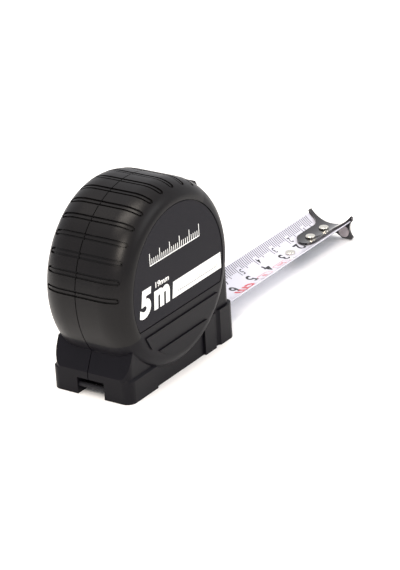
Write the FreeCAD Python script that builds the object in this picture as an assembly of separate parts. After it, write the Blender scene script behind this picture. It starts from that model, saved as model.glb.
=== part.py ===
# A 5 m pocket tape measure with a 19 mm steel blade, as separate pieces in millimetres.
#
# Frame: +Z is up and the tape rests on the flat underside of its base. The origin is the
# middle of that rest face. The blade leaves the case towards +X and runs on the plane Y = 0,
# and the case's back is at -X. The shell on the -Y side is the deeper of the two.
import FreeCAD, Part
import math
import os

V = FreeCAD.Vector

# --- driving dimensions: the case ----------------------------------------------------
BODY_R = 30.2            # radius of the round body
BODY_X = -2.0            # centre of the round body, behind the middle of the base
BODY_Z = 32.4            # height of that centre over the rest face
NEAR_W = 16.25           # from Y = 0 to the round side of the -Y shell
FAR_W = 14.75            # and of the +Y shell
RIM_DROP = 6.0           # soft round of the two rims, measured towards the axis
RIM_IN = 9.0             # and along the axis
WALL = 1.8               # wall of the half shells
FOOT_L = 58.0            # length of the base
FOOT_HALF = 14.0         # half of the base's width between the feet
FOOT_FLARE = 0.8         # how far each foot stands out past the base
FOOT_H = 8.0             # height of the feet's upright faces
HEEL_RISE = 8.5          # rise of the sloping face over the rear foot
HEEL_RUN = 4.0           # how far that face leans in
REAR_FOOT_L = 14.5       # length of the rear foot
FRONT_FOOT_L = 17.0      # length of the front foot
CORNER_R = 3.0           # upright corners of the base
SEAM_Y = 0.8             # plane on which the two shells meet
SEAM_W = 0.3             # parting line between the shells, width
SEAM_D = 0.35            # and depth

# --- grip, labels and side plates ----------------------------------------------------
GRIP_T = 1.2             # thickness of the soft grip over the shell
GRIP_START = 52.0        # angles about the body's centre, from +X over the top
GRIP_END = 208.0
GROOVE_COUNT = 11
GROOVE_FIRST = 174.5     # lowest groove on the back
GROOVE_PITCH = 11.25
GROOVE_W = 2.0
GROOVE_D = 0.6
GROOVE_RIM = 2.2         # from a groove's end to the round side
RIDGE_W = 0.7            # thin ridge along the middle of each groove
RIDGE_DROP = 0.1         # its top lies this far under the grip's skin
LABEL_R = 23.8           # edge of the round label
LABEL_T = 0.45
LABEL_CUT_Z = 22.6       # the label's straight lower edge
LABEL_GAP = 0.3          # fine groove round the label
LABEL_DEPTH = 0.55       # depth of the label's seat
PLATE_T = 0.5            # how far the two side plates stand proud
PLATE_TOP = 19.8         # upper plate
PLATE_LOW = 15.2
PLATE_HALF = 19.4
PLATE_TAPER = 2.6
SHOE_TOP = 13.2          # lower plate, a segment of a circle
SHOE_UP = 3.4            # its circle's centre lies this far under the body's
SHOE_MARGIN = 0.4        # and its edge keeps this far inside the flat of the side

# --- driving dimensions: blade and hook ----------------------------------------------
BLADE_W = 19.0           # width along the curved section
BLADE_R = 11.0           # radius of the curved section
BLADE_T = 0.2            # steel and coating
BLADE_EDGE_Z = 7.5       # height of the blade's two edges
BLADE_TIP = 111.0        # where the hook's inner face meets the blade's end
BLADE_INNER = 16.0       # inner end of the straight stretch
MOUTH_CLEAR = 1.2        # from the blade to the mouth's edge in the shells
MOUTH_DEEP = 6.0         # how far in the shells are cut away round the blade
BLADE_ROOM = 0.35        # from the blade to what guides it
SEAT_CLEAR = 0.03        # between pieces that are pushed into the shells
MOUTH_OVER = 1.2         # extra height of the mouth over the blade's trough
BUMPER_T = 1.6           # how far the rubber lip reaches past the front
GUIDE_L = 9.0            # slippery insert that carries the blade
HOOK_T = 0.9
HOOK_W = 17.4            # over the two wings
HOOK_TONGUE_W = 7.6
HOOK_TONGUE_L = 18.0
HOOK_FLARE_L = 6.5       # where the tongue widens into the wings
HOOK_GAP = 0.12          # under the tongue, so that the hook can slide on the blade
HOOK_DROP_Z = 0.3        # lower edge of the hook
HOOK_PLAY = 1.0          # true zero play, equal to the hook's thickness in use
RIVET_R = 1.0            # shank
RIVET_HEAD_R = 1.7
RIVET_HEAD_T = 0.5
RIVET_BACK = (3.9, 12.6)  # distances of the hook's rivets from the blade's tip
RIVET_THIRD = 25.6       # rivet behind the hook that holds the backing strip
BACKING_L = 28.5
BACKING_W = 9.0
BACKING_T = 0.4
HOOK_WAIST_R = 4.2       # hollow sides of the hook's front
HOOK_WAIST_IN = 1.2      # how far they reach in
HOOK_WAIST_UP = 3.9      # height of their middle over the hook's lower edge
HOOK_ARCH_R = 7.0        # hollow lower edge of the hook's front
HOOK_ARCH_RISE = 1.7     # how far that hollow reaches up
HOOK_CORNER_R = 0.8
MAGNET_R = 2.1
MAGNET_PROUD = 0.06      # how far the magnets stand out of the hook's two faces
MAGNET_Y = 5.2
MAGNET_Z = 2.9

# --- driving dimensions: reel and lock ------------------------------------------------
POST_R = 2.5             # fixed post in the middle
POST_WALL = 3.0          # round its two sockets in the shells
POST_SKIN = 0.92         # shell left over the sockets' ends
FLANGE_GAP = 0.3         # from the reel's flanges to those sockets
RUN_CLEAR = 0.06         # radial running clearance on the post
HUB_R = 13.0             # outside of the drum
HUB_WALL = 1.0
REEL_HALF = 9.8          # half of the room between the flanges
FLANGE_R = 21.6
FLANGE_T = 0.9
COIL_R = 19.5            # outside of the wound blade
SPRING_T = 0.3
SPRING_PITCH = 0.85
SPRING_TURNS = 8
SPRING_HALF = 5.0
LOCK_ANGLE = 27.0        # where the lock sits on the front, about the body's centre
LOCK_L = 14.0
LOCK_W = 13.0
LOCK_PROUD = 2.4
LOCK_TRAVEL = 5.0
LOCK_STEM_L = 5.0
LOCK_STEM_W = 5.0
LOCK_CLEAR = 0.3
PAD_L = 6.0
PAD_W = 9.0
PAD_T = 5.5
PAD_SETBACK = 2.0        # from the front wall to the pad
PAD_GAP = 0.95           # pad over the blade when the lock is off

# --- driving dimensions: clip, strap notch, screws ------------------------------------
CLIP_W = 14.0
CLIP_T = 0.8
CLIP_TOP_Z = 50.0
CLIP_LOW_Z = 14.0
CLIP_STAND = 5.0         # room for a belt
CLIP_SEAT = 0.02         # between the clip, the shell and the screw's head
CLIP_SCREW_Z = CLIP_TOP_Z - 4.5
CLIP_SCREW_IN = 3.5      # depth of the clip screw's hole under the +Y side
NOTCH_W = 10.0           # strap notch in the rear foot
NOTCH_H = 5.6
NOTCH_L = 7.6
STRAP_PIN_R = 0.8
NOTCH_WALL = 1.2         # thin walls round the notch, inside the case
STRAP_PIN_IN = 1.5       # pin's centre from the rear face
STRAP_PIN_HELD = 2.9     # length of each end in the walls
SCREW_R = 1.1
SCREW_HEAD_R = 2.1
SCREW_HEAD_T = 1.4
SCREW_L = 15.0
SCREW_CLEAR = 0.05       # round a shank where it passes through
HEAD_CLEAR = 0.15        # round a screw's head
DRIVER_SLOT_W = 0.6
DRIVER_SLOT_D = 0.6
BOSS_R = 2.7
SCREW_ANGLES = (62, 135)  # the two upper screws, about the body's centre
SCREW_RING_GAP = 0.5     # from their bosses to the wall
REAR_SCREW_IN = 5.6      # the two lower screws, from the base's ends
REAR_SCREW_Z = 10.4
FRONT_SCREW_IN = 5.2
FRONT_SCREW_Z = 18.5
UPPER_SINK = 4.6         # how deep the screws' heads sit under the +Y side
LOWER_SINK = 2.2         # and under the base's side

# --- worked out from the sizes above --------------------------------------------------
BASE_BACK = -FOOT_L / 2
BASE_FRONT = FOOT_L / 2
BODY_FRONT = BODY_X + BODY_R
SHOE_Z = BODY_Z - SHOE_UP
SHOE_R = BODY_R - RIM_DROP - SHOE_UP - SHOE_MARGIN
BLADE_HALF_ANGLE = BLADE_W / 2 / BLADE_R
BLADE_CHORD = 2 * BLADE_R * math.sin(BLADE_HALF_ANGLE)
BLADE_SAG = BLADE_R * (1 - math.cos(BLADE_HALF_ANGLE))
TROUGH_Z = BLADE_EDGE_Z - BLADE_SAG          # blade's upper face on its centre line
CURVE_Z = TROUGH_Z + BLADE_R                 # axis of the blade's curved section
FLANGE_OUT = REEL_HALF + FLANGE_T
HOOK_X = BLADE_TIP + HOOK_PLAY / 2 + 0.1     # hook's inner face, with its play to spare
HOOK_END = HOOK_X + HOOK_T
LINE_LOW_Z = BLADE_EDGE_Z + 3                # the parting line stops over the mouth
OVER = 2.0                                   # how far cutting shapes reach past a surface
PAD_X = BODY_FRONT - WALL - PAD_SETBACK - PAD_L
HOOK_TOP_R = BLADE_R - HOOK_GAP              # underside of the hook's tongue
SCREW_RING = BODY_R - WALL - BOSS_R - SCREW_RING_GAP
UPPER_SPOTS = [(BODY_X + SCREW_RING * math.cos(math.radians(a)),
                BODY_Z + SCREW_RING * math.sin(math.radians(a))) for a in SCREW_ANGLES]
LOWER_SPOTS = [(BASE_BACK + REAR_SCREW_IN, REAR_SCREW_Z),
               (BASE_FRONT - FRONT_SCREW_IN, FRONT_SCREW_Z)]
SCREW_SPOTS = UPPER_SPOTS + LOWER_SPOTS


def box(x0, x1, y0, y1, z0, z1):
    return Part.makeBox(x1 - x0, y1 - y0, z1 - z0, V(x0, y0, z0))


def cyl_y(r, y0, y1, x=BODY_X, z=BODY_Z):
    return Part.makeCylinder(r, y1 - y0, V(x, y0, z), V(0, 1, 0))


def cyl_x(r, x0, x1, y, z):
    return Part.makeCylinder(r, x1 - x0, V(x0, y, z), V(1, 0, 0))


def cyl_z(r, z0, z1, x, y):
    return Part.makeCylinder(r, z1 - z0, V(x, y, z0), V(0, 0, 1))


def fuse(shapes):
    whole = shapes[0].fuse(list(shapes[1:])) if len(shapes) > 1 else shapes[0]
    return whole.removeSplitter()


def prism_y(points, y0, y1):
    """A straight-sided outline in the XZ plane, pulled along Y."""
    wire = Part.makePolygon([V(x, y0, z) for x, z in points] + [V(points[0][0], y0, points[0][1])])
    return Part.Face(wire).extrude(V(0, y1 - y0, 0))


def upright_edges(shape, corners):
    """The vertical edges that stand at the given (x, y) corners."""
    found = []
    for edge in shape.Edges:
        a = edge.Vertexes[0].Point
        b = edge.Vertexes[-1].Point
        if math.hypot(a.x - b.x, a.y - b.y) > 1e-6:
            continue
        if any(math.hypot(a.x - x, a.y - y) < 1e-4 for x, y in corners):
            found.append(edge)
    return found


# --- the case -------------------------------------------------------------------------
def rim_arc(r, y, side, grow):
    """A quarter of an ellipse: the profile of one soft rim, from the crown to the side."""
    long_way = RIM_IN + grow
    short_way = RIM_DROP + grow
    centre = V(0, y - side * long_way, r - short_way)
    ellipse = Part.Ellipse(centre + V(0, side * long_way, 0), centre + V(0, 0, short_way), centre)
    crown = ellipse.parameter(centre + V(0, 0, short_way))
    return ellipse.toShape(0, crown) if crown < math.pi else ellipse.toShape(crown, 2 * math.pi)


def round_body(grow):
    """The round body with its soft rims, larger by grow all over."""
    r = BODY_R + grow
    near = -NEAR_W - grow
    far = FAR_W + grow
    short_way = RIM_DROP + grow
    long_way = RIM_IN + grow
    edges = [Part.LineSegment(V(0, near, 0), V(0, near, r - short_way)).toShape(),
             rim_arc(r, near, -1, grow),
             Part.LineSegment(V(0, near + long_way, r), V(0, far - long_way, r)).toShape(),
             rim_arc(r, far, 1, grow),
             Part.LineSegment(V(0, far, r - short_way), V(0, far, 0)).toShape(),
             Part.LineSegment(V(0, far, 0), V(0, near, 0)).toShape()]
    profile = Part.Face(Part.Wire(Part.__sortEdges__(edges)))
    profile.translate(V(BODY_X, 0, BODY_Z))
    return profile.revolve(V(BODY_X, 0, BODY_Z), V(0, 1, 0), 360)


def base_block(grow):
    """The base under the round body and the upright front over the mouth."""
    half = FOOT_HALF + grow
    back = BASE_BACK - grow
    heel = prism_y([(back, -grow), (back, FOOT_H + grow / 2), (back + HEEL_RUN, FOOT_H + HEEL_RISE),
                    (BODY_X, FOOT_H + HEEL_RISE), (BODY_X, -grow)], -half, half)
    front = BODY_FRONT + grow
    nose = box(BODY_X, front, -half, half, -grow, BODY_Z)
    corner = CORNER_R + grow
    heel = heel.makeFillet(corner, upright_edges(heel, [(back, -half), (back, half)]))
    nose = nose.makeFillet(corner, upright_edges(nose, [(front, -half), (front, half)]))
    return fuse([heel, nose])


def feet():
    """The flared feet: the rear one, and the front one with its shallow waist."""
    out = FOOT_HALF + FOOT_FLARE
    rear = box(BASE_BACK, BASE_BACK + REAR_FOOT_L, -out, out, 0, FOOT_H)
    front = box(BASE_FRONT - FRONT_FOOT_L, BASE_FRONT, -out, out, 0, FOOT_H + 4)
    rear = rear.makeFillet(CORNER_R, upright_edges(rear, [(BASE_BACK, -out), (BASE_BACK, out)]))
    front = front.makeFillet(CORNER_R, upright_edges(front, [(BASE_FRONT, -out), (BASE_FRONT, out)]))
    waist_x = BASE_FRONT - FRONT_FOOT_L * 0.57
    for side in (-1, 1):
        front = front.cut(cyl_z(1.6, 0, FOOT_H + 4, waist_x, side * (out + 0.8)))
    # the rear foot's upper edge is sloped back to the base, but for the edge inside the base
    inside = BASE_BACK + REAR_FOOT_L
    top_edges = [e for e in rear.Edges
                 if e.BoundBox.ZMin > FOOT_H - 1e-6 and e.BoundBox.XMin < inside - 1e-6]
    rear = rear.makeChamfer(FOOT_FLARE * 0.9, top_edges)
    return [rear, front]


def sector(start, end, radius):
    """A wedge about the body's axis, between two angles from +X over the top."""
    points = [(BODY_X, BODY_Z)]
    steps = 8
    for i in range(steps + 1):
        angle = math.radians(start + (end - start) * i / steps)
        points.append((BODY_X + radius * math.cos(angle), BODY_Z + radius * math.sin(angle)))
    return prism_y(points, -NEAR_W - OVER, FAR_W + OVER)


def label_outline(radius, y0, y1, cut_z):
    disc = cyl_y(radius, y0, y1)
    return disc.common(box(-FOOT_L, FOOT_L, y0, y1, cut_z, BODY_Z + BODY_R))


def side_plates(y0, y1):
    """The two raised plates under the label: a tapered bar and a segment."""
    bar = prism_y([(BODY_X - PLATE_HALF, PLATE_TOP), (BODY_X + PLATE_HALF, PLATE_TOP),
                   (BODY_X + PLATE_HALF - PLATE_TAPER, PLATE_LOW),
                   (BODY_X - PLATE_HALF + PLATE_TAPER, PLATE_LOW)], y0, y1)
    shoe = cyl_y(SHOE_R, y0, y1, BODY_X, SHOE_Z).common(box(-FOOT_L, FOOT_L, y0, y1, 0, SHOE_TOP))
    return [bar, shoe]


def grip_zone():
    """The layer of the round body that the soft grip fills."""
    layer = round_body(0).cut(round_body(-GRIP_T))
    layer = layer.common(sector(GRIP_START, GRIP_END, BODY_R * 2))
    keep = LABEL_R + LABEL_GAP
    layer = layer.cut(cyl_y(keep, -NEAR_W - OVER, FAR_W + OVER))
    heel = box(BASE_BACK - OVER, BODY_X, -NEAR_W - OVER, FAR_W + OVER, -OVER, FOOT_H + HEEL_RISE)
    return layer.cut(heel)


def round_ended_bar(width, y0, y1, r0, r1):
    """A bar along Y with round ends, from radius r0 to r1 along X."""
    a = y0 + width / 2
    b = y1 - width / 2
    bar = box(r0, r1, a, b, -width / 2, width / 2)
    return fuse([bar] + [cyl_x(width / 2, r0, r1, y, 0) for y in (a, b)])


def groove(angle):
    """One cross groove of the grip: a round-ended loop round a thin ridge."""
    r0 = BODY_R - RIM_DROP
    r1 = BODY_R + OVER
    near = -NEAR_W + GROOVE_RIM
    far = FAR_W - GROOVE_RIM
    inset = (GROOVE_W - RIDGE_W) / 2
    slot = round_ended_bar(GROOVE_W, near, far, r0, r1)
    ridge = round_ended_bar(RIDGE_W, near + inset, far - inset, r0, r1)
    for shape in (slot, ridge):
        shape.rotate(V(0, 0, 0), V(0, 1, 0), -angle)
        shape.translate(V(BODY_X, 0, BODY_Z))
    ridge = ridge.common(round_body(-RIDGE_DROP))
    return slot.cut(round_body(-GROOVE_D)).cut(ridge)


def mouth_cutter(room, x0, x1):
    """The blade's arched section with room all round it, pulled along X."""
    outer = cyl_x(BLADE_R + BLADE_T + room, x0, x1, 0, CURVE_Z)
    inner = cyl_x(BLADE_R - room - MOUTH_OVER, x0, x1, 0, CURVE_Z)
    half = BLADE_CHORD / 2 + room
    slab = box(x0, x1, -half, half, 0, BLADE_EDGE_Z + room + MOUTH_OVER / 2)
    return outer.cut(inner).common(slab)


def notch_box(grow):
    return box(BASE_BACK - OVER, BASE_BACK + NOTCH_L + grow, -NOTCH_W / 2 - grow, NOTCH_W / 2 + grow,
               -OVER, NOTCH_H + grow)


def lock_frame(shape):
    """Carries a piece drawn at the origin (X out, Z along the travel) to the lock's place."""
    shape.rotate(V(0, 0, 0), V(0, 1, 0), -LOCK_ANGLE)
    shape.translate(V(BODY_X, 0, BODY_Z))
    return shape


def lock_slot(room):
    """The way through the front wall for the lock's stem, as long as its travel needs."""
    half_w = LOCK_STEM_W / 2 + room
    low = -LOCK_STEM_L / 2 - LOCK_TRAVEL - room
    slot = box(BODY_R - 8, BODY_R + 6, -half_w, half_w, low, LOCK_STEM_L / 2 + room)
    return lock_frame(slot)


def lock_seat():
    """The flat that the lock's cap slides on."""
    half_w = LOCK_W / 2 + LOCK_CLEAR
    low = -LOCK_L / 2 - LOCK_TRAVEL - LOCK_CLEAR
    flat = box(BODY_R - 1.0, BODY_R + 8, -half_w, half_w, low, LOCK_L / 2 + LOCK_CLEAR)
    return lock_frame(flat)


def screw_bosses(side):
    """Posts inside a shell that the case screws pass through or bite into."""
    y0, y1 = (-NEAR_W + WALL / 2, SEAM_Y) if side < 0 else (SEAM_Y, FAR_W - WALL / 2)
    return [cyl_y(BOSS_R, y0, y1, x, z) for x, z in SCREW_SPOTS]


def side_face(side):
    """The Y of the round side on one side, and the way out of it."""
    return -NEAR_W if side < 0 else FAR_W


def side_layer(side, under, over):
    """The Y range from under the round side to over it, low end first."""
    face = side_face(side)
    return sorted((face - side * under, face + side * over))


def whole_case():
    """Both shells as one solid, before it is parted."""
    outer = fuse([round_body(0), base_block(0)] + feet())
    for side in (-1, 1):
        outer = fuse([outer] + side_plates(*side_layer(side, PLATE_T, PLATE_T)))
    cavity = fuse([round_body(-WALL), base_block(-WALL)])
    cavity = cavity.cut(notch_box(NOTCH_WALL))
    shell = outer.cut(cavity)
    # posts for the screws, and the two inner rings that keep the reel in its place
    inside = cavity.common(fuse(screw_bosses(-1) + screw_bosses(1)))
    shell = fuse([shell, inside])
    for side in (-1, 1):
        y0, y1 = sorted((side * (FLANGE_OUT + FLANGE_GAP), side_face(side) - side * WALL / 2))
        shell = fuse([shell, cyl_y(POST_R + POST_WALL, y0, y1)])
    shell = shell.cut(cyl_y(POST_R, -NEAR_W + POST_SKIN, FAR_W - POST_SKIN))
    # seats for the grip and labels
    shell = shell.cut(grip_zone())
    for side in (-1, 1):
        y0, y1 = side_layer(side, LABEL_DEPTH, OVER)
        shell = shell.cut(label_outline(LABEL_R + LABEL_GAP, y0, y1, LABEL_CUT_Z - LABEL_GAP))
    # mouth, strap notch and lock
    shell = shell.cut(mouth_cutter(MOUTH_CLEAR, BODY_FRONT - MOUTH_DEEP, BASE_FRONT + OVER))
    shell = shell.cut(notch_box(0))
    shell = shell.cut(strap_rod(STRAP_PIN_R, STRAP_PIN_HELD + SEAT_CLEAR))
    shell = shell.cut(lock_slot(LOCK_CLEAR)).cut(lock_seat())
    return shell


def case_shells():
    """The two half shells, with a fine line all round the outside where they meet."""
    shell = whole_case()
    line = half_space(SEAM_Y - SEAM_W / 2, SEAM_Y + SEAM_W / 2).common(
        box(-FOOT_L, FOOT_L, -NEAR_W, FAR_W, SEAM_D * 2, BODY_Z * 2))
    line = line.cut(fuse([round_body(-SEAM_D), base_block(-SEAM_D)]))
    line = line.cut(box(BODY_FRONT - MOUTH_DEEP, BASE_FRONT + OVER, -NEAR_W, FAR_W, -OVER, LINE_LOW_Z))
    shell = shell.cut(line)
    left = shell.common(half_space(-NEAR_W - OVER, SEAM_Y))
    right = shell.common(half_space(SEAM_Y, FAR_W + OVER))
    for x, z in SCREW_SPOTS:
        # through holes and head seats on the +Y side, blind holes on the -Y side
        right = right.cut(cyl_y(SCREW_R + SCREW_CLEAR, 0, FAR_W + OVER, x, z))
        right = right.cut(screw_seat(x, z))
        left = left.cut(cyl_y(SCREW_R, screw_seat_y(x, z) - SCREW_L, SEAM_Y + OVER, x, z))
    right = right.cut(clip_screw_hole(SCREW_R))
    return largest(left), largest(right)


def half_space(y0, y1):
    """A slab that holds everything between two planes across Y."""
    return box(-2 * FOOT_L, 2 * FOOT_L, y0, y1, -OVER, 2 * BODY_Z)


def largest(shape):
    return max(shape.Solids, key=lambda s: s.Volume)


def screw_seat_y(x, z):
    """Where a screw's head rests: sunk under the round rim, or under the base's side."""
    if (x, z) in LOWER_SPOTS:
        return FOOT_HALF - LOWER_SINK - SCREW_HEAD_T
    return FAR_W - UPPER_SINK


def screw_seat(x, z):
    return cyl_y(SCREW_HEAD_R + HEAD_CLEAR, screw_seat_y(x, z), FAR_W + OVER, x, z)


def driver_slots(x, z, top):
    """The two crossed slots of a screw's head."""
    half = DRIVER_SLOT_W / 2
    reach = SCREW_HEAD_R * 0.7
    low = top - DRIVER_SLOT_D
    return [box(x - reach, x + reach, low, top + OVER, z - half, z + half),
            box(x - half, x + half, low, top + OVER, z - reach, z + reach)]


def case_screws():
    screws = []
    for x, z in SCREW_SPOTS:
        seat = screw_seat_y(x, z)
        shank = cyl_y(SCREW_R, seat - SCREW_L, seat, x, z)
        head = cyl_y(SCREW_HEAD_R, seat, seat + SCREW_HEAD_T, x, z)
        slots = driver_slots(x, z, seat + SCREW_HEAD_T)
        screws.append(fuse([shank, head]).cut(fuse(slots)))
    return Part.Compound(screws)


def grips():
    """The soft grip's two halves; the screws' seats pass through the +Y one."""
    grip = grip_zone()
    for i in range(GROOVE_COUNT):
        grip = grip.cut(groove(GROOVE_FIRST - i * GROOVE_PITCH))
    left = grip.common(half_space(-NEAR_W - OVER, SEAM_Y - SEAM_W / 2))
    right = grip.common(half_space(SEAM_Y + SEAM_W / 2, FAR_W + OVER))
    for x, z in SCREW_SPOTS:
        right = right.cut(screw_seat(x, z))
    return largest(left), largest(right)


def label(side):
    """A round label with a straight lower edge, on the floor of its seat."""
    y0, y1 = side_layer(side, LABEL_DEPTH, LABEL_T - LABEL_DEPTH)
    return label_outline(LABEL_R, y0, y1, LABEL_CUT_Z)


def clip_label():
    """The +Y label, with the hole that the clip's screw passes through."""
    return label(1).cut(clip_screw_hole(SCREW_R + HEAD_CLEAR))


# --- blade and hook -------------------------------------------------------------------
def blade_section(x0, x1, radius_out, radius_in, width_angle, centre_z=CURVE_Z):
    """A stretch of the arched strip, from its inner to its outer radius."""
    ring = cyl_x(radius_out, x0, x1, 0, centre_z).cut(cyl_x(radius_in, x0, x1, 0, centre_z))
    reach = radius_out * 3
    a = width_angle
    points = [V(x0, 0, centre_z), V(x0, -reach * math.sin(a), centre_z - reach * math.cos(a)),
              V(x0, 0, centre_z - reach * 1.6), V(x0, reach * math.sin(a), centre_z - reach * math.cos(a)),
              V(x0, 0, centre_z)]
    wedge = Part.Face(Part.makePolygon(points)).extrude(V(x1 - x0, 0, 0))
    return ring.common(wedge)


def blade():
    strip = blade_section(BLADE_INNER, BLADE_TIP, BLADE_R + BLADE_T, BLADE_R, BLADE_HALF_ANGLE)
    for x in rivet_spots():
        strip = strip.cut(cyl_z(RIVET_R, 0, BLADE_EDGE_Z, x, 0))
    return strip


def rivet_spots():
    return [BLADE_TIP - back for back in RIVET_BACK] + [BLADE_TIP - RIVET_THIRD]


def hook_outline():
    """Plan of the hook's top: a round-ended tongue that flares into two wings."""
    tip = HOOK_END
    back = BLADE_TIP - HOOK_TONGUE_L
    half_t = HOOK_TONGUE_W / 2
    half_w = HOOK_W / 2
    flare_x = tip - HOOK_FLARE_L
    edges = []
    nose_x = back + half_t
    a = V(nose_x, half_t, 0)
    b = V(nose_x, -half_t, 0)
    edges.append(Part.Arc(a, V(back, 0, 0), b).toShape())
    c = V(flare_x, -half_t, 0)
    edges.append(Part.LineSegment(b, c).toShape())
    d = V(tip - 1.2, -half_w, 0)
    mid = V(tip - 2.3, -half_t - 1.5, 0)
    edges.append(Part.Arc(c, mid, d).toShape())
    e = V(tip, -half_w, 0)
    edges.append(Part.LineSegment(d, e).toShape())
    f = V(tip, half_w, 0)
    edges.append(Part.LineSegment(e, f).toShape())
    g = V(tip - 1.2, half_w, 0)
    edges.append(Part.LineSegment(f, g).toShape())
    h = V(flare_x, half_t, 0)
    edges.append(Part.Arc(g, V(tip - 2.3, half_t + 1.5, 0), h).toShape())
    edges.append(Part.LineSegment(h, a).toShape())
    return Part.Face(Part.Wire(edges)).extrude(V(0, 0, 40))


def hook_plate():
    top = blade_section(BLADE_TIP - HOOK_TONGUE_L - 1, HOOK_END, HOOK_TOP_R, HOOK_TOP_R - HOOK_T,
                        BLADE_HALF_ANGLE * 1.1)
    top = top.common(hook_outline())
    # the plate that hangs from the wings: waisted sides, round lower corners
    half = HOOK_W / 2
    edge_z = CURVE_Z - (HOOK_TOP_R - HOOK_T) * math.cos(BLADE_HALF_ANGLE * 1.05)
    drop = box(HOOK_X, HOOK_END, -half, half, HOOK_DROP_Z, edge_z)
    corners = [e for e in drop.Edges if e.BoundBox.ZMax < HOOK_DROP_Z + 1e-6 and e.BoundBox.YLength < 1e-6]
    drop = drop.makeFillet(HOOK_CORNER_R, corners)
    drop = drop.cut(cyl_x(HOOK_TOP_R - HOOK_T, HOOK_X - 1, HOOK_END + 1, 0, CURVE_Z))
    waist_y = half + HOOK_WAIST_R - HOOK_WAIST_IN
    waist_z = HOOK_DROP_Z + HOOK_WAIST_UP
    for side in (-1, 1):
        drop = drop.cut(cyl_x(HOOK_WAIST_R, HOOK_X - 1, HOOK_END + 1, side * waist_y, waist_z))
    arch_z = HOOK_DROP_Z + HOOK_ARCH_RISE - HOOK_ARCH_R
    drop = drop.cut(cyl_x(HOOK_ARCH_R, HOOK_X - 1, HOOK_END + 1, 0, arch_z))
    hook = fuse([top, drop])
    for x in rivet_spots()[:2]:
        slot_r = RIVET_R + HOOK_GAP
        slot = box(x - HOOK_PLAY / 2, x + HOOK_PLAY / 2, -slot_r, slot_r, 0, 20)
        ends = [cyl_z(slot_r, 0, 20, x + s * HOOK_PLAY / 2, 0) for s in (-1, 1)]
        hook = hook.cut(fuse([slot] + ends))
    for side in (-1, 1):
        hook = hook.cut(cyl_x(MAGNET_R, HOOK_X - 1, HOOK_END + 1, side * MAGNET_Y, MAGNET_Z))
    return hook


def hook_magnets():
    x0 = HOOK_X - MAGNET_PROUD
    x1 = HOOK_END + MAGNET_PROUD
    return Part.Compound([cyl_x(MAGNET_R - 0.02, x0, x1, side * MAGNET_Y, MAGNET_Z) for side in (-1, 1)])


def hook_backing():
    """The strip under the blade that the rivets clench against."""
    x1 = BLADE_TIP - 0.5
    inner = BLADE_R + BLADE_T + 0.02
    strip = blade_section(BLADE_TIP - BACKING_L, x1, inner + BACKING_T, inner, BACKING_W / 2 / BLADE_R)
    for x in rivet_spots():
        strip = strip.cut(cyl_z(RIVET_R, 0, BLADE_EDGE_Z, x, 0))
    return strip


def hook_rivets():
    """Three rivets: low heads in the trough, clenched under the backing strip."""
    rivets = []
    for i, x in enumerate(rivet_spots()):
        seat = TROUGH_Z + (HOOK_T + HOOK_GAP if i < 2 else 0)
        low = TROUGH_Z - BLADE_T - BACKING_T - 0.02
        rise = RIVET_HEAD_R ** 2 / 2 / (BLADE_R - HOOK_T)
        shank = cyl_z(RIVET_R, low - 0.4, seat + rise + 0.3, x, 0)
        head = cyl_z(RIVET_HEAD_R, seat + rise + 0.15, seat + rise + 0.15 + RIVET_HEAD_T, x, 0)
        rim = [e for e in head.Edges if e.BoundBox.ZMin > seat + rise + 0.3]
        head = head.makeFillet(RIVET_HEAD_T * 0.7, rim)
        foot = cyl_z(RIVET_HEAD_R * 0.9, low - 0.45, low - 0.02, x, 0)
        rivets.append(fuse([shank, head, foot]))
    return Part.Compound(rivets)


def mouth_guide():
    """A slippery insert under the blade, just inside the mouth."""
    x1 = BODY_FRONT - WALL - 0.1
    x0 = x1 - GUIDE_L
    top = BLADE_R + BLADE_T + BLADE_ROOM
    saddle = box(x0, x1, -BLADE_CHORD / 2 - 1.6, BLADE_CHORD / 2 + 1.6, WALL, BLADE_EDGE_Z - 0.6)
    return saddle.cut(cyl_x(top, x0 - 1, x1 + 1, 0, CURVE_Z))


def mouth_bumper():
    """Rubber lip in the mouth that takes the hook's knock when the blade runs home."""
    x1 = BASE_FRONT + BUMPER_T * 0.5
    x0 = BODY_FRONT - WALL + 0.1
    ring = mouth_cutter(MOUTH_CLEAR - SEAT_CLEAR, x0, x1)
    return ring.cut(mouth_cutter(BLADE_ROOM, x0 - 1, x1 + 1))


# --- reel ----------------------------------------------------------------------------
def spring_post():
    """The fixed post, with the slot that holds the mainspring's inner end."""
    post = cyl_y(POST_R, -NEAR_W + POST_SKIN + SEAT_CLEAR, FAR_W - POST_SKIN - SEAT_CLEAR)
    half_slot = SPRING_T / 2 + 0.2
    reach = SPRING_HALF + 1
    low = BODY_Z - 2 * POST_R
    return post.cut(box(BODY_X - half_slot, BODY_X + half_slot, -reach, reach, low, BODY_Z + 1))


def reel():
    """Drum with its end wall and the -Y flange."""
    bore = POST_R + RUN_CLEAR
    drum = cyl_y(HUB_R, -REEL_HALF, REEL_HALF - 1.2)
    flange = cyl_y(FLANGE_R, -FLANGE_OUT, -REEL_HALF)
    body = fuse([drum, flange])
    body = body.cut(cyl_y(HUB_R - HUB_WALL, -REEL_HALF + 2.2, REEL_HALF))
    body = body.cut(cyl_y(bore, -FLANGE_OUT - 1, FLANGE_OUT + 1))
    for i in range(6):
        angle = math.radians(60 * i)
        x = BODY_X + 17.4 * math.cos(angle)
        z = BODY_Z + 17.4 * math.sin(angle)
        body = body.cut(cyl_y(2.4, -FLANGE_OUT - 1, -REEL_HALF + 0.01, x, z))
    return body


def reel_cover():
    """The +Y flange, which closes the spring's chamber and plugs into the drum."""
    cover = cyl_y(FLANGE_R, REEL_HALF, FLANGE_OUT)
    plug = cyl_y(HUB_R, REEL_HALF - 1.2, REEL_HALF)
    return fuse([cover, plug]).cut(cyl_y(POST_R + RUN_CLEAR, -1, FLANGE_OUT + 1))


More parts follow.
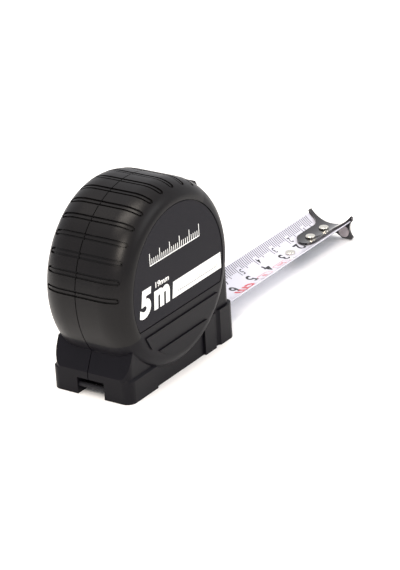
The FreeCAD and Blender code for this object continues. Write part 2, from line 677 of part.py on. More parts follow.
def blade_coil():
    """The wound blade: a ring on the drum, with steps that show its turns."""
    half = REEL_HALF - 0.25
    ring = cyl_y(COIL_R, -half, half).cut(cyl_y(HUB_R + 0.02, -half - 1, half + 1))
    turns = 7
    pitch = (COIL_R - HUB_R) / turns
    for i in range(1, turns):
        r = HUB_R + i * pitch
        for side in (-1, 1):
            y0, y1 = sorted((side * (half - 0.4), side * (half + 1)))
            ring = ring.cut(cyl_y(r + 0.12, y0, y1).cut(cyl_y(r - 0.12, y0 - 1, y1 + 1)))
    return ring


def mainspring():
    """A flat spiral spring of half-circle arcs, tight against the drum at its outer end."""
    outer_end = HUB_R - HUB_WALL - 0.35
    pitch = SPRING_PITCH
    first = outer_end - SPRING_TURNS * pitch
    outside, inside = [], []
    for i in range(SPRING_TURNS * 2):
        r0 = first + i * pitch / 2
        r1 = r0 + pitch / 2
        side = 1 if i % 2 == 0 else -1
        for edges, shift in ((outside, SPRING_T / 2), (inside, -SPRING_T / 2)):
            start = V(BODY_X + side * (r0 + shift), 0, BODY_Z)
            end = V(BODY_X - side * (r1 + shift), 0, BODY_Z)
            mean = (r0 + r1) / 2 + shift
            centre_x = (start.x + end.x) / 2
            edges.append(Part.Arc(start, V(centre_x, 0, BODY_Z + side * mean), end).toShape())
    ends = []
    axis = V(BODY_X, 0, BODY_Z)
    for k in (0, -1):
        pair = [sorted((v.Point for v in row[k].Vertexes), key=axis.distanceToPoint)
                for row in (outside, inside)]
        ends.append([points[k] for points in pair])
    caps = [Part.LineSegment(p, q).toShape() for p, q in ends]
    wire = Part.Wire(Part.__sortEdges__(outside + inside + caps))
    strip = Part.Face(wire).extrude(V(0, 2 * SPRING_HALF, 0))
    strip.translate(V(0, -SPRING_HALF, 0))
    return strip


# --- lock ----------------------------------------------------------------------------
def lock_slider():
    """The thumb lock: a ribbed cap outside, with a stem through the front wall."""
    cap = box(BODY_R - 0.9, BODY_R + LOCK_PROUD, -LOCK_W / 2, LOCK_W / 2, -LOCK_L / 2, LOCK_L / 2)
    outer = [e for e in cap.Edges if all(v.X > BODY_R + LOCK_PROUD - 1e-6 for v in e.Vertexes)]
    cap = cap.makeFillet(1.0, outer)
    for i in range(4):
        z = (i - 1.5) * 2.4
        reach = LOCK_W / 2 - 2
        face = BODY_R + LOCK_PROUD
        cap = cap.cut(box(face - 0.5, face + 1, -reach, reach, z - 0.6, z + 0.6))
    stem = box(BODY_R - 4.0, BODY_R, -LOCK_STEM_W / 2, LOCK_STEM_W / 2, -LOCK_STEM_L / 2, LOCK_STEM_L / 2)
    keeper = box(BODY_R - 4.9, BODY_R - 3.1, -LOCK_W / 2 + 1.5, LOCK_W / 2 - 1.5, -LOCK_STEM_L / 2,
                 LOCK_STEM_L / 2)
    return lock_frame(fuse([cap, stem, keeper]))


def lock_pad():
    """The brake pad over the blade, with a sole that matches the blade's trough."""
    x0 = PAD_X
    low = TROUGH_Z + PAD_GAP
    pad = box(x0, x0 + PAD_L, -PAD_W / 2, PAD_W / 2, low, low + PAD_T)
    sole = cyl_x(BLADE_R - PAD_GAP, x0 - 1, x0 + PAD_L + 1, 0, CURVE_Z)
    return pad.common(sole)


def pad_carrier():
    """The bracket between the shells that the pad and its spring are held in."""
    x0 = PAD_X
    top = TROUGH_Z + PAD_GAP + PAD_T
    reach = FOOT_HALF - WALL - SEAT_CLEAR
    bar = box(x0 - 0.9, x0 + PAD_L + 0.9, -reach, reach, top + 1.6, top + 3.0)
    back = box(x0 - 0.9, x0 - 0.15, -PAD_W / 2, PAD_W / 2, top - 1.4, top + 2.0)
    front = box(x0 + PAD_L + 0.15, x0 + PAD_L + 0.9, -PAD_W / 2, PAD_W / 2, top - 1.4, top + 2.0)
    return fuse([bar, back, front])


def lock_spring():
    """A leaf spring between the pad's back and its carrier."""
    x0 = PAD_X
    top = TROUGH_Z + PAD_GAP + PAD_T
    points = [(x0 + 0.4, top + 1.25), (x0 + PAD_L / 2, top + 0.02), (x0 + PAD_L - 0.4, top + 1.25),
              (x0 + PAD_L - 0.4, top + 1.5), (x0 + PAD_L / 2, top + 0.27), (x0 + 0.4, top + 1.5)]
    return prism_y(points, -2.5, 2.5)


# --- clip and strap pin ----------------------------------------------------------------
def clip_points():
    """The clip's side view in (y, z): flat on the shell, out, down and curled at the end."""
    y0 = FAR_W + CLIP_SEAT
    t = CLIP_T
    out = y0 + CLIP_STAND + t
    return [(y0, CLIP_TOP_Z - 9), (y0, CLIP_TOP_Z), (y0 + 1.6, CLIP_TOP_Z + 1.6), (out, CLIP_TOP_Z - 2),
            (out - 0.6, CLIP_LOW_Z + 6), (out + 1.2, CLIP_LOW_Z)]


def belt_clip():
    """A sprung steel strip on the +Y side, with room for a belt behind it."""
    path = [V(BODY_X, y, z) for y, z in clip_points()]
    outside = []
    inside = []
    for i, p in enumerate(path):
        before = path[max(i - 1, 0)]
        after = path[min(i + 1, len(path) - 1)]
        run = (after - before).normalize()
        normal = V(0, -run.z, run.y)
        outside.append(p)
        inside.append(p.add(normal.multiply(-CLIP_T)))
    ring = outside + inside[::-1] + [outside[0]]
    strip = Part.Face(Part.makePolygon(ring)).extrude(V(CLIP_W, 0, 0))
    strip.translate(V(-CLIP_W / 2, 0, 0))
    return strip.cut(cyl_y(SCREW_R + HEAD_CLEAR, 0, 2 * FAR_W, BODY_X, CLIP_SCREW_Z))


def clip_screw_hole(radius):
    return cyl_y(radius, FAR_W - CLIP_SCREW_IN, FAR_W + OVER, BODY_X, CLIP_SCREW_Z)


def clip_screw():
    y = FAR_W + CLIP_T + 2 * CLIP_SEAT
    shank = cyl_y(SCREW_R, FAR_W - CLIP_SCREW_IN + SEAT_CLEAR, y + SCREW_HEAD_T / 2, BODY_X, CLIP_SCREW_Z)
    head = cyl_y(SCREW_HEAD_R, y, y + SCREW_HEAD_T, BODY_X, CLIP_SCREW_Z)
    slots = driver_slots(BODY_X, CLIP_SCREW_Z, y + SCREW_HEAD_T)
    return fuse([shank, head]).cut(fuse(slots))


def strap_rod(radius, held):
    """A rod across the strap notch, with its ends held in the walls."""
    reach = NOTCH_W / 2 + held
    return cyl_y(radius, -reach, reach, BASE_BACK + STRAP_PIN_IN, NOTCH_H / 2)


def strap_pin():
    return strap_rod(STRAP_PIN_R - SEAT_CLEAR, STRAP_PIN_HELD)


def main():
    case_left, case_right = case_shells()
    grip_left, grip_right = grips()
    pieces = {
        "case_left": case_left,
        "case_right": case_right,
        "grip_left": grip_left,
        "grip_right": grip_right,
        "label_left": label(-1),
        "label_right": clip_label(),
        "case_screws": case_screws(),
        "spring_post": spring_post(),
        "reel": reel(),
        "reel_cover": reel_cover(),
        "mainspring": mainspring(),
        "blade_coil": blade_coil(),
        "blade": blade(),
        "hook_plate": hook_plate(),
        "hook_magnets": hook_magnets(),
        "hook_backing": hook_backing(),
        "hook_rivets": hook_rivets(),
        "mouth_guide": mouth_guide(),
        "mouth_bumper": mouth_bumper(),
        "lock_slider": lock_slider(),
        "lock_pad": lock_pad(),
        "lock_spring": lock_spring(),
        "pad_carrier": pad_carrier(),
        "belt_clip": belt_clip(),
        "clip_screw": clip_screw(),
        "strap_pin": strap_pin(),
    }
    os.makedirs("parts", exist_ok=True)
    for name, shape in pieces.items():
        shape.exportStep("parts/" + name + ".step")
        box_ = shape.BoundBox
        print(name, len(shape.Solids), "solids", round(shape.Volume, 1), "mm3, valid", shape.isValid(),
              "x", round(box_.XMin, 1), round(box_.XMax, 1), "y", round(box_.YMin, 1), round(box_.YMax, 1),
              "z", round(box_.ZMin, 1), round(box_.ZMax, 1))


main()
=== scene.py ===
# %% [markdown]
# A pocket tape measure, dressed and lit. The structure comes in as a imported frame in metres:
# every shell, spring and rivet is already in its place. This file gives those pieces their
# finishes, adds the printing that the structure has no need of, and sets up floor, light and
# camera. +X is the way the blade leaves the case, and the printed side faces -Y.

# %% Load the frame
import bmesh
import bpy
import math
from mathutils import Matrix, Vector


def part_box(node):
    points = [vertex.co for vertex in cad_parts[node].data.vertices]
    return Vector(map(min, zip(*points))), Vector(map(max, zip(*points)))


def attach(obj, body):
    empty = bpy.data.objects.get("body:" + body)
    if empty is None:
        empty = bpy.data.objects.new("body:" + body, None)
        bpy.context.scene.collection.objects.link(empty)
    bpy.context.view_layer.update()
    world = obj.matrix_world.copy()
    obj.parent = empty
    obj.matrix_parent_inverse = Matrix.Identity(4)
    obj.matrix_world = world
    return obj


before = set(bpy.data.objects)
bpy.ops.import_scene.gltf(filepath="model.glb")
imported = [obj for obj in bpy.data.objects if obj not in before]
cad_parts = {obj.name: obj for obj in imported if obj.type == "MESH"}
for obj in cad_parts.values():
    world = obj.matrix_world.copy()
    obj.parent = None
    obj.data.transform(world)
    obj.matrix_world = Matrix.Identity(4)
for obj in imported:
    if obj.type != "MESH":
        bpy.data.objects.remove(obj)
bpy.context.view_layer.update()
MM = 0.001


# %% [markdown]
# Colours are picked on a screen as sRGB hex values, but a shader works with linear light.
# One function turns the one into the other, and every colour below goes through it.

# %% Colour helper
def linear(hex_colour):
    """An sRGB hex colour as the linear RGBA that a shader socket takes."""
    values = []
    for i in (0, 2, 4):
        c = int(hex_colour[i:i + 2], 16) / 255
        values.append(c / 12.92 if c <= 0.04045 else ((c + 0.055) / 1.055) ** 2.4)
    return (*values, 1.0)


print("mid grey in linear light:", round(linear("808080")[0], 3))


# %% [markdown]
# A material is a small graph. Blender's own way of adding a node takes one line for the node,
# one for each setting and one for each link, which hides the idea of the graph. This helper
# takes all three at once: settings are the node's own properties, and each entry of inputs is
# either a value for a socket or another node's output to be linked to it.

# %% Node helper
def add_node(tree, kind, inputs=None, **settings):
    node = tree.nodes.new(kind)
    for name, value in settings.items():
        setattr(node, name, value)
    for socket, value in (inputs or {}).items():
        if isinstance(value, bpy.types.NodeSocket):
            tree.links.new(value, node.inputs[socket])
        else:
            node.inputs[socket].default_value = value
    return node


def new_material(name):
    """An empty material, its node tree and its shader."""
    material = bpy.data.materials.new(name)
    material.use_nodes = True
    tree = material.node_tree
    tree.nodes.clear()
    shader = add_node(tree, "ShaderNodeBsdfPrincipled")
    add_node(tree, "ShaderNodeOutputMaterial", {"Surface": shader.outputs["BSDF"]})
    return material, tree, shader


def set_shader(shader, **values):
    """Plain values on the shader's own sockets; names use _ for a space."""
    for name, value in values.items():
        shader.inputs[name.replace("_", " ")].default_value = value


print("helpers ready")


# %% [markdown]
# The shells are ABS, moulded against a spark-eroded tool. The tool leaves a fine, even pebble
# about a quarter of a millimetre across, so the black looks like charcoal and its highlights
# spread wide. Noise drives a shallow bump at that size, and a second, much larger noise moves
# the roughness a little, as handling does.

# %% ABS, moulded
HANDLING_PATCH = 9 * MM
PEBBLE_DEPTH = 0.02 * MM


def moulded_plastic(name, colour, roughness, grain_mm, bump, tint=None):
    material, tree, shader = new_material(name)
    place = add_node(tree, "ShaderNodeTexCoord")
    grain = add_node(tree, "ShaderNodeTexNoise", {"Vector": place.outputs["Object"], "Detail": 2.0,
                                                  "Scale": 1 / (grain_mm * MM)})
    patches = add_node(tree, "ShaderNodeTexNoise", {"Vector": place.outputs["Object"], "Detail": 3.0,
                                                    "Scale": 1 / HANDLING_PATCH})
    rough = add_node(tree, "ShaderNodeMapRange", {"Value": patches.outputs["Fac"],
                                                  "To Min": roughness - 0.05,
                                                  "To Max": roughness + 0.06})
    shade = add_node(tree, "ShaderNodeMix", {0: patches.outputs["Fac"], 6: linear(colour),
                                             7: linear(tint or colour)}, data_type="RGBA")
    relief = add_node(tree, "ShaderNodeBump", {"Height": grain.outputs["Fac"], "Strength": bump,
                                               "Distance": PEBBLE_DEPTH})
    tree.links.new(shade.outputs[2], shader.inputs["Base Color"])
    tree.links.new(rough.outputs["Result"], shader.inputs["Roughness"])
    tree.links.new(relief.outputs["Normal"], shader.inputs["Normal"])
    set_shader(shader, IOR=1.5, Specular_IOR_Level=0.1)
    return material


case_abs = moulded_plastic("abs_moulded_charcoal", "0e0d11", 0.36, 0.25, 0.5, "131217")
lock_abs = moulded_plastic("abs_moulded_lock_grey", "1e1d21", 0.38, 0.25, 0.5)
print("shell finish:", case_abs.name)


# %% [markdown]
# The grip is a thermoplastic elastomer, moulded over the shell. Beside ABS it is a touch
# browner and softer to the eye: its skin is nearly smooth, but it scatters light just under
# the surface, so the highlight on its round rims is broad and warm. A little sheen gives that.

# %% Grip elastomer
def grip_elastomer():
    material = moulded_plastic("elastomer_moulded_grip", "0d0c0d", 0.33, 0.35, 0.3, "121011")
    shader = next(n for n in material.node_tree.nodes if n.type == "BSDF_PRINCIPLED")
    set_shader(shader, Specular_IOR_Level=0.17, Sheen_Weight=0.02, Sheen_Roughness=0.4,
               Sheen_Tint=linear("8a7f78"))
    return material


grip_skin = grip_elastomer()
print("grip finish:", grip_skin.name)


# %% [markdown]
# The round label is a polyester film with a sand texture on its face, printed from behind. Its
# black is a little bluer than the moulding's, and the sand is coarse enough to sparkle.

# %% Label film
label_film = moulded_plastic("polyester_film_sanded_black", "111016", 0.5, 0.3, 0.9, "17161d")
print("label finish:", label_film.name)


# %% [markdown]
# The blade is spring steel with a white lacquer and a clear film over the print. The lacquer
# is very slightly lilac, and the film is what makes the trough glossy: a coat over a satin
# base shows both a soft body colour and a sharp reflection.

# %% Blade lacquer
LACQUER_CLOUD = 6 * MM
LACQUER_RIPPLE = 0.05 * MM


def blade_lacquer():
    material, tree, shader = new_material("steel_lacquered_white")
    place = add_node(tree, "ShaderNodeTexCoord")
    cloud = add_node(tree, "ShaderNodeTexNoise", {"Vector": place.outputs["Object"], "Detail": 4.0,
                                                  "Scale": 1 / LACQUER_CLOUD})
    shade = add_node(tree, "ShaderNodeMix", {0: cloud.outputs["Fac"], 6: linear("c6c6d2"),
                                             7: linear("d0d0dc")}, data_type="RGBA")
    ripple = add_node(tree, "ShaderNodeBump", {"Height": cloud.outputs["Fac"], "Strength": 0.15,
                                               "Distance": LACQUER_RIPPLE})
    tree.links.new(shade.outputs[2], shader.inputs["Base Color"])
    tree.links.new(ripple.outputs["Normal"], shader.inputs["Coat Normal"])
    set_shader(shader, Roughness=0.42, IOR=1.5, Coat_Weight=0.6, Coat_Roughness=0.08, Coat_IOR=1.5)
    return material


blade_white = blade_lacquer()
print("blade finish:", blade_white.name)


# %% [markdown]
# Bare metals differ mostly in colour and in how they were finished. A turned, rolled or plated
# surface is a metal with a roughness and fine lines: the lines are noise that is stretched
# along the way the metal was worked.

# %% Metals
WORKED_LINE = 0.4 * MM
WORKED_DEPTH = 0.01 * MM


def worked_metal(name, colour, roughness, stretch=(1, 1, 1), bump=0.2):
    material, tree, shader = new_material(name)
    place = add_node(tree, "ShaderNodeTexCoord")
    along = add_node(tree, "ShaderNodeMapping", {"Vector": place.outputs["Object"], "Scale": stretch})
    lines = add_node(tree, "ShaderNodeTexNoise", {"Vector": along.outputs["Vector"], "Detail": 3.0,
                                                  "Scale": 1 / WORKED_LINE})
    rough = add_node(tree, "ShaderNodeMapRange", {"Value": lines.outputs["Fac"],
                                                  "To Min": roughness * 0.8,
                                                  "To Max": roughness * 1.25})
    relief = add_node(tree, "ShaderNodeBump", {"Height": lines.outputs["Fac"], "Strength": bump,
                                               "Distance": WORKED_DEPTH})
    tree.links.new(rough.outputs["Result"], shader.inputs["Roughness"])
    tree.links.new(relief.outputs["Normal"], shader.inputs["Normal"])
    set_shader(shader, Metallic=1.0, Base_Color=linear(colour))
    return material


zinc = worked_metal("steel_zinc_plated", "c9cacd", 0.28)
rivet_steel = worked_metal("steel_clenched_bright", "e9e5da", 0.16)
spring_blue = worked_metal("steel_rolled_blued", "5c6478", 0.3, (0.05, 1, 1))
post_steel = worked_metal("steel_turned", "b9babd", 0.25, (1, 0.05, 1))
magnet_nickel = worked_metal("nickel_plated_magnet", "cfc4c4", 0.45)
print("metals:", zinc.name, rivet_steel.name, spring_blue.name, post_steel.name, magnet_nickel.name)


# %% [markdown]
# The hook is pressed steel with a black nickel plate: almost black, yet a mirror, so it shows
# a pale grey wherever it faces the light. The clip is also black, but electrocoated, which is
# a satin paint.

# %% Black plate and electrocoat
PLATING_CLOUD = 3 * MM


def black_plate():
    material, tree, shader = new_material("steel_black_nickel")
    place = add_node(tree, "ShaderNodeTexCoord")
    film = add_node(tree, "ShaderNodeTexNoise", {"Vector": place.outputs["Object"], "Detail": 2.0,
                                                 "Scale": 1 / PLATING_CLOUD})
    rough = add_node(tree, "ShaderNodeMapRange", {"Value": film.outputs["Fac"], "To Min": 0.14,
                                                  "To Max": 0.22})
    tree.links.new(rough.outputs["Result"], shader.inputs["Roughness"])
    set_shader(shader, Base_Color=linear("2c2a2c"), Metallic=0.55, Coat_Weight=0.8, Coat_Roughness=0.06)
    return material


hook_black = black_plate()
clip_black = moulded_plastic("steel_electrocoated_black", "232326", 0.35, 0.6, 0.15)
print("black metals:", hook_black.name, clip_black.name)


# %% [markdown]
# Inside the case are parts that only a cutaway or a look down the mouth shows: a reel and a
# guide of acetal, which is a waxy, slightly see-through plastic, and a rubber lip in the mouth.

# %% Inner plastics and rubber
reel_acetal = moulded_plastic("acetal_moulded_natural", "dedbd2", 0.3, 0.8, 0.1)
guide_acetal = moulded_plastic("acetal_moulded_black", "26262a", 0.28, 0.8, 0.1)
mouth_rubber = moulded_plastic("rubber_moulded_black", "1d1d1f", 0.6, 0.3, 0.4)
print("inner finishes:", reel_acetal.name, guide_acetal.name, mouth_rubber.name)

# %% Give every structural piece its finish
finishes = {
    "case_left": case_abs, "case_right": case_abs,
    "grip_left": grip_skin, "grip_right": grip_skin,
    "label_left": label_film, "label_right": label_film,
    "case_screws": zinc, "clip_screw": zinc, "spring_post": post_steel,
    "reel": reel_acetal, "reel_cover": reel_acetal,
    "mainspring": spring_blue, "hook_backing": spring_blue, "lock_spring": spring_blue,
    "blade_coil": blade_white, "blade": blade_white,
    "hook_plate": hook_black, "hook_magnets": magnet_nickel, "hook_rivets": rivet_steel,
    "mouth_guide": guide_acetal, "pad_carrier": guide_acetal,
    "mouth_bumper": mouth_rubber, "lock_pad": mouth_rubber,
    "lock_slider": lock_abs, "belt_clip": clip_black, "strap_pin": clip_black,
}
for node_name, finish in finishes.items():
    piece = bpy.data.objects[node_name]
    piece.data.materials.clear()
    piece.data.materials.append(finish)
print("dressed", len(finishes), "pieces; left over:", sorted(set(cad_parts) - set(finishes)))


# %% [markdown]
# Printing ink lies on the surface, thinner than a hair. Each mark here is a flat mesh that
# floats two hundredths of a millimetre over what it is printed on. Solid meshes were chosen
# over a texture because they stay sharp at any zoom and can be measured.

# %% Inks
INK_LIFT = 0.02 * MM
INK_SPECK = 0.3 * MM


def printing_ink(name, colour, roughness):
    material, tree, shader = new_material(name)
    place = add_node(tree, "ShaderNodeTexCoord")
    speck = add_node(tree, "ShaderNodeTexNoise", {"Vector": place.outputs["Object"], "Detail": 1.0,
                                                  "Scale": 1 / INK_SPECK})
    rough = add_node(tree, "ShaderNodeMapRange", {"Value": speck.outputs["Fac"],
                                                  "To Min": roughness - 0.05,
                                                  "To Max": roughness + 0.05})
    tree.links.new(rough.outputs["Result"], shader.inputs["Roughness"])
    set_shader(shader, Base_Color=linear(colour), IOR=1.5)
    return material


ink_black = printing_ink("ink_screened_black", "1a1a1e", 0.35)
ink_grey = printing_ink("ink_screened_tick_grey", "2e2e38", 0.35)
ink_red = printing_ink("ink_screened_red", "c03a48", 0.35)
ink_white = printing_ink("ink_screened_white", "f1f1ee", 0.5)
print("inks:", ink_black.name, ink_grey.name, ink_red.name, ink_white.name)


# %% [markdown]
# The blade's trough is part of a cylinder. A mark is first drawn flat, in distance along the
# blade and distance across it, and then rolled onto that cylinder. Long faces would cut
# through the curve, so the flat drawing is sliced into narrow strips before it is rolled.

# %% Roll a flat drawing onto the blade
blade_low, blade_high = (Vector(corner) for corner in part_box("blade"))
STRIP_W = 19 * MM
STRIP_R = 11 * MM
HALF_TURN = STRIP_W / 2 / STRIP_R
SLICE = 0.45 * MM
trough_axis_z = blade_high.z + STRIP_R * math.cos(HALF_TURN)
blade_tip = blade_high.x


def slice_across(sheet, step):
    """Cuts a flat sheet along lines of constant y, step apart."""
    ys = [v.co.y for v in sheet.verts]
    cut = math.ceil(min(ys) / step) * step
    while cut < max(ys):
        geometry = list(sheet.verts) + list(sheet.edges) + list(sheet.faces)
        bmesh.ops.bisect_plane(sheet, geom=geometry, plane_co=(0, cut, 0), plane_no=(0, 1, 0))
        cut += step


def roll_onto_blade(sheet, lift=INK_LIFT):
    slice_across(sheet, SLICE)
    for v in sheet.verts:
        turn = v.co.y / STRIP_R
        r = STRIP_R - lift
        v.co = Vector((v.co.x, r * math.sin(turn), trough_axis_z - r * math.cos(turn)))


def finish_piece(sheet, name, material, body):
    """Turns a bmesh into a piece that rides on a body and takes its finish from a slot."""
    mesh = bpy.data.meshes.new(name)
    sheet.to_mesh(mesh)
    sheet.free()
    mesh.materials.append(material)
    piece = bpy.data.objects.new(name, mesh)
    bpy.context.scene.collection.objects.link(piece)
    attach(piece, body)
    return piece


def add_bar(sheet, x0, x1, y0, y1):
    corners = [sheet.verts.new((x, y, 0)) for x, y in ((x0, y0), (x1, y0), (x1, y1), (x0, y1))]
    return sheet.faces.new(corners)


print("trough radius", STRIP_R / MM, "mm, tip at x =", round(blade_tip / MM, 1), "mm")

# %% [markdown]
# The scale: a fine tick every millimetre along both edges, a longer one every five, the longest
# every ten. Zero is the hook's inner face, and the count grows towards the case. Ticks go on
# as far as the straight blade does, so that none is missing when the blade is pulled out.

# %% Print the ticks
HOOK_T = 0.9 * MM
ZERO_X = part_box("hook_plate")[1][0] - HOOK_T
FIRST_TICK = 3
TICK_W = 0.3 * MM
EDGE_MARGIN = 0.15 * MM
tick_length = {"small": 2.3 * MM, "mm": 3.6 * MM, "half": 4.5 * MM, "cm": 5.8 * MM}


def print_ticks(side):
    sheet = bmesh.new()
    last = int((ZERO_X - blade_low.x) / MM) - 1
    for count in range(FIRST_TICK, last + 1):
        kind = "cm" if count % 10 == 0 else "half" if count % 5 == 0 else "mm"
        x = ZERO_X - count * MM
        edge = side * (STRIP_W / 2 - EDGE_MARGIN)
        inner = edge - side * tick_length["small" if side > 0 and count % 10 in (8, 9) else kind]
        add_bar(sheet, x - TICK_W / 2, x + TICK_W / 2, min(edge, inner), max(edge, inner))
    roll_onto_blade(sheet)
    return last, sheet


for side_name, side in (("far", 1), ("near", -1)):
    last_tick, ticks = print_ticks(side)
    finish_piece(ticks, "scale_ticks_" + side_name, ink_grey, "blade_body")
print("ticks to", last_tick, "mm on both edges")


# %% [markdown]
# Figures are text curves, turned into flat meshes so that they can be rolled onto the blade as
# well. They stand on the far edge: a reader there sees them upright, hook to the left. Large
# figures sit at the ends of the long ticks, small ones between the ticks near the edge.

# %% Draw figures
def text_sheet(words, height, weight=0.0, squeeze=1.0, slant=0.0):
    """Text as a flat bmesh, centred on the origin, with the wanted cap height."""
    curve = bpy.data.curves.new("drawing", "FONT")
    curve.body = words
    curve.size = 1.0
    curve.offset = weight
    curve.align_x = "CENTER"
    curve.resolution_u = 4
    drawing = bpy.data.objects.new("drawing", curve)
    mesh = bpy.data.meshes.new_from_object(drawing)
    sheet = bmesh.new()
    sheet.from_mesh(mesh)
    bpy.data.objects.remove(drawing)
    bpy.data.curves.remove(curve)
    bpy.data.meshes.remove(mesh)
    top = max(v.co.y for v in sheet.verts)
    low = min(v.co.y for v in sheet.verts)
    size = height / (top - low)
    for v in sheet.verts:
        y = (v.co.y - (top + low) / 2) * size
        v.co = Vector((v.co.x * size * squeeze + slant * y, y, 0))
    return sheet


def move_sheet(sheet, x, y, turn=0.0):
    bmesh.ops.transform(sheet, matrix=Matrix.Translation((x, y, 0)) @ Matrix.Rotation(turn, 4, "Z"),
                        verts=sheet.verts)


LARGE_FIGURE = 4.6 * MM
SMALL_FIGURE = 2.5 * MM
SMALL_ASIDE = 1.5 * MM
large_y = STRIP_W / 2 - tick_length["cm"] - LARGE_FIGURE * 0.78
small_y = STRIP_W / 2 - 4.6 * MM
figures = 0
for centimetre in range(1, last_tick // 10 + 1):
    x = ZERO_X - centimetre * 10 * MM
    for kind, size, aside, y, weight in (("large", LARGE_FIGURE, 0.0, large_y, 0.02),
                                         ("small", SMALL_FIGURE, SMALL_ASIDE, small_y, 0.01)):
        drawn = text_sheet(str(centimetre), size, weight, 0.9)
        move_sheet(drawn, x + aside, y, math.pi)
        roll_onto_blade(drawn)
        finish_piece(drawn, "figure_%d_%s" % (centimetre, kind), ink_black, "blade_body")
        figures += 1
print("figures:", figures)


# %% [markdown]
# In red, the blade says what every such blade says: its length in a box, its accuracy class in
# an oval and the unit of its scale. These are plain statements of size, not a maker's marks.

# %% Print the red marks
def outline_sheet(length, width, line, rounding):
    """A flat ring: a rectangle whose corners have the given radius."""
    sheet = bmesh.new()
    rings = []
    for inset in (0.0, line):
        half_x = length / 2 - inset
        half_y = width / 2 - inset
        r = max(rounding - inset, 0.02 * MM)
        ring = []
        for corner, (sx, sy) in enumerate(((1, 1), (-1, 1), (-1, -1), (1, -1))):
            for i in range(7):
                a = math.radians(90 * corner + 15 * i)
                ring.append(sheet.verts.new((sx * (half_x - r) + r * math.cos(a),
                                             sy * (half_y - r) + r * math.sin(a), 0)))
        rings.append(ring)
    count = len(rings[0])
    for i in range(count):
        j = (i + 1) % count
        sheet.faces.new((rings[0][i], rings[0][j], rings[1][j], rings[1][i]))
    return sheet


red_y = -2.6 * MM
red_marks = [("length_box", outline_sheet(7.0 * MM, 3.4 * MM, 0.16 * MM, 0.3 * MM), 35.5),
             ("length_words", text_sheet("5m", 2.0 * MM, 0.01, 1.1), 35.5),
             ("class_oval", outline_sheet(7.0 * MM, 3.2 * MM, 0.18 * MM, 1.55 * MM), 46.0),
             ("class_words", text_sheet("II", 1.9 * MM, 0.02, 1.3), 46.0),
             ("unit_words", text_sheet("cm", 3.4 * MM, 0.03, 1.2), 58.0)]
for mark_name, drawn, millimetres in red_marks:
    move_sheet(drawn, ZERO_X - millimetres * MM, red_y, math.pi)
    roll_onto_blade(drawn)
    finish_piece(drawn, "red_" + mark_name, ink_red, "blade_body")
print("red marks:", len(red_marks))


# %% [markdown]
# The label says how long and how wide the blade is. The wide white bar and the space over it
# hold nothing but graduations, the plainest picture of what the tool does.

# %% Print the label
label_low, label_high = (Vector(corner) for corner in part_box("label_left"))
label_centre_x = (label_low.x + label_high.x) / 2
label_face_y = label_low.y


def stand_on_label(sheet, x, z, lift=INK_LIFT):
    """Stands a flat drawing up on the label, facing -Y, centred on x and z."""
    for v in sheet.verts:
        v.co = Vector((x + v.co.x, label_face_y - lift, z + v.co.y))


bar_left = label_low.x + 20.6 * MM
bar_low, bar_high = 26.8 * MM, 32.1 * MM
bar_right = label_centre_x + 22.8 * MM
bar_lean = 0.8 * MM
white_bar = bmesh.new()
white_bar.faces.new([white_bar.verts.new((x, z, 0)) for x, z in (
    (bar_left - bar_lean, bar_low), (bar_right, bar_low), (bar_right, bar_high), (bar_left, bar_high))])
stand_on_label(white_bar, 0, 0)
finish_piece(white_bar, "label_bar", ink_white, "case")

# name, words, height, weight, squeeze, slant, and the middle from the label's left end and z = 0
label_words = (("five", "5", 9.1, 0.05, 1.0, 0.18, 6.1, 30.7),
               ("metre", "m", 6.1, 0.05, 1.0, 0.08, 14.5, 29.8),
               ("width", "19mm", 1.9, 0.02, 1.2, 0.08, 14.8, 34.6))
for word_name, words, height, weight, squeeze, slant, x_mm, z_mm in label_words:
    drawn = text_sheet(words, height * MM, weight, squeeze, slant)
    stand_on_label(drawn, label_low.x + x_mm * MM, z_mm * MM)
    finish_piece(drawn, "label_" + word_name, ink_white, "case")
print("label bar is", round((bar_right - bar_left) / MM, 1), "mm long")


# %% Graduations on the label
def graduations(count, pitch, short, long, line):
    """A row of ticks on a base line, every fifth one long, centred on the origin."""
    sheet = bmesh.new()
    start = -(count - 1) / 2 * pitch
    for i in range(count):
        x = start + i * pitch
        add_bar(sheet, x - line / 2, x + line / 2, 0, long if i % 5 == 0 else short)
    add_bar(sheet, start - line / 2, -start + line / 2, -line, 0)
    return sheet


GRADUATION = 1.05 * MM
bar_scale = graduations(21, GRADUATION, 1.2 * MM, 2.2 * MM, 0.16 * MM)
stand_on_label(bar_scale, (bar_left + bar_right) / 2, 28.3 * MM, INK_LIFT * 2)
finish_piece(bar_scale, "label_bar_scale", ink_grey, "case")
round_scale = graduations(26, GRADUATION, 1.9 * MM, 3.8 * MM, 0.3 * MM)
stand_on_label(round_scale, label_centre_x - 1.2 * MM, 41.8 * MM)
finish_piece(round_scale, "label_scale", ink_white, "case")
print("graduations on the label: 2 rows")


# %% [markdown]
# A studio floor: one pale sheet that runs far past the tape, soft lamps, and a pale sky. Dark
# plastic is only seen by what it reflects, so the lamps' sizes and places draw the tape's form:
# a small one behind for the ribs, a large one beside the label, and one overhead. The plain
# tone curve keeps the floor white and the blacks deep.

# %% Floor
FLOOR_HALF = 4.0
FLOOR_GAP = 0.05 * MM


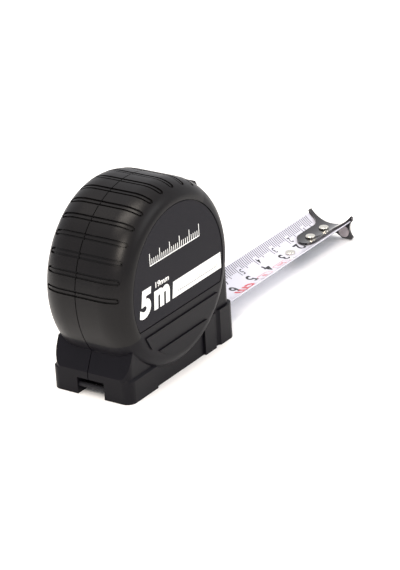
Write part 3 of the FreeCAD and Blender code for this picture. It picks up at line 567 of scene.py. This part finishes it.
def pale_floor():
    sheet = bmesh.new()
    bmesh.ops.create_grid(sheet, x_segments=2, y_segments=2, size=FLOOR_HALF)
    mesh = bpy.data.meshes.new("floor")
    sheet.to_mesh(mesh)
    sheet.free()
    material, tree, shader = new_material("paper_matt_white")
    place = add_node(tree, "ShaderNodeTexCoord")
    fibre = add_node(tree, "ShaderNodeTexNoise", {"Vector": place.outputs["Object"], "Scale": 400.0})
    relief = add_node(tree, "ShaderNodeBump", {"Height": fibre.outputs["Fac"], "Strength": 0.02})
    tree.links.new(relief.outputs["Normal"], shader.inputs["Normal"])
    set_shader(shader, Base_Color=linear("fbfbfb"), Roughness=0.9)
    mesh.materials.append(material)
    floor = bpy.data.objects.new("floor", mesh)
    floor.location.z = -FLOOR_GAP
    bpy.context.scene.collection.objects.link(floor)


pale_floor()
print("floor laid")


# %% Lights
def soft_lamp(name, place, target, size, watts, tint="ffffff"):
    lamp = bpy.data.lights.new(name, "AREA")
    lamp.shape = "RECTANGLE"
    lamp.size, lamp.size_y = size
    lamp.energy = watts
    lamp.color = linear(tint)[:3]
    holder = bpy.data.objects.new(name, lamp)
    holder.location = place
    holder.rotation_euler = (Vector(target) - Vector(place)).to_track_quat("-Z", "Y").to_euler()
    bpy.context.scene.collection.objects.link(holder)


middle = (0.0, 0.0, 0.03)
soft_lamp("lamp_back", (-0.62, -0.28, 0.62), middle, (0.16, 0.3), 4.2, "fff4e6")
soft_lamp("lamp_side", (0.3, -0.9, 0.7), middle, (0.7, 0.5), 3.0)
soft_lamp("lamp_top", (-0.1, 0.1, 0.95), middle, (0.35, 0.6), 7.0, "fff6ea")
sky = bpy.data.worlds.new("sky")
sky.use_nodes = True
background = sky.node_tree.nodes["Background"]
background.inputs["Color"].default_value = linear("fbfbff")
background.inputs["Strength"].default_value = 0.9
bpy.context.scene.world = sky
bpy.context.scene.view_settings.view_transform = "Standard"
print("lamps: 3")

# %% [markdown]
# The camera stands behind the case, on the printed side, and looks down at about a quarter of
# a right angle, so that the ribbed back, the label and the blade all show. A long lens from
# far away keeps the edges nearly parallel, as in a catalogue.

# %% Camera
AZIMUTH, ELEVATION, ROLL = math.radians(-54.75), math.radians(23.67), math.radians(-3.4)
DISTANCE = 0.820
AIM = Vector((4.75 * MM, 0, 0))
SLIDE = Vector((-14.29 * MM, -21.87 * MM))
FOCAL_PER_WIDTH = 6.519


def camera_axes():
    back = Vector((math.sin(AZIMUTH) * math.cos(ELEVATION), -math.cos(AZIMUTH) * math.cos(ELEVATION),
                   math.sin(ELEVATION)))
    level = Vector((0, 0, 1)).cross(back).normalized()
    upright = back.cross(level)
    right = math.cos(ROLL) * level + math.sin(ROLL) * upright
    return right, back.cross(right), back


right, upright, back = camera_axes()
lens = bpy.data.cameras.new("camera")
lens.sensor_fit = "HORIZONTAL"
lens.sensor_width = 36.0
lens.lens = 36.0 * FOCAL_PER_WIDTH
lens.clip_end = 20.0
camera = bpy.data.objects.new("camera", lens)
place = AIM - SLIDE.x * right - SLIDE.y * upright + DISTANCE * back
turn = Matrix((right, upright, back)).transposed().to_4x4()
camera.matrix_world = Matrix.Translation(place) @ turn
bpy.context.scene.collection.objects.link(camera)
bpy.context.scene.camera = camera
print("camera at", [round(c, 3) for c in place])
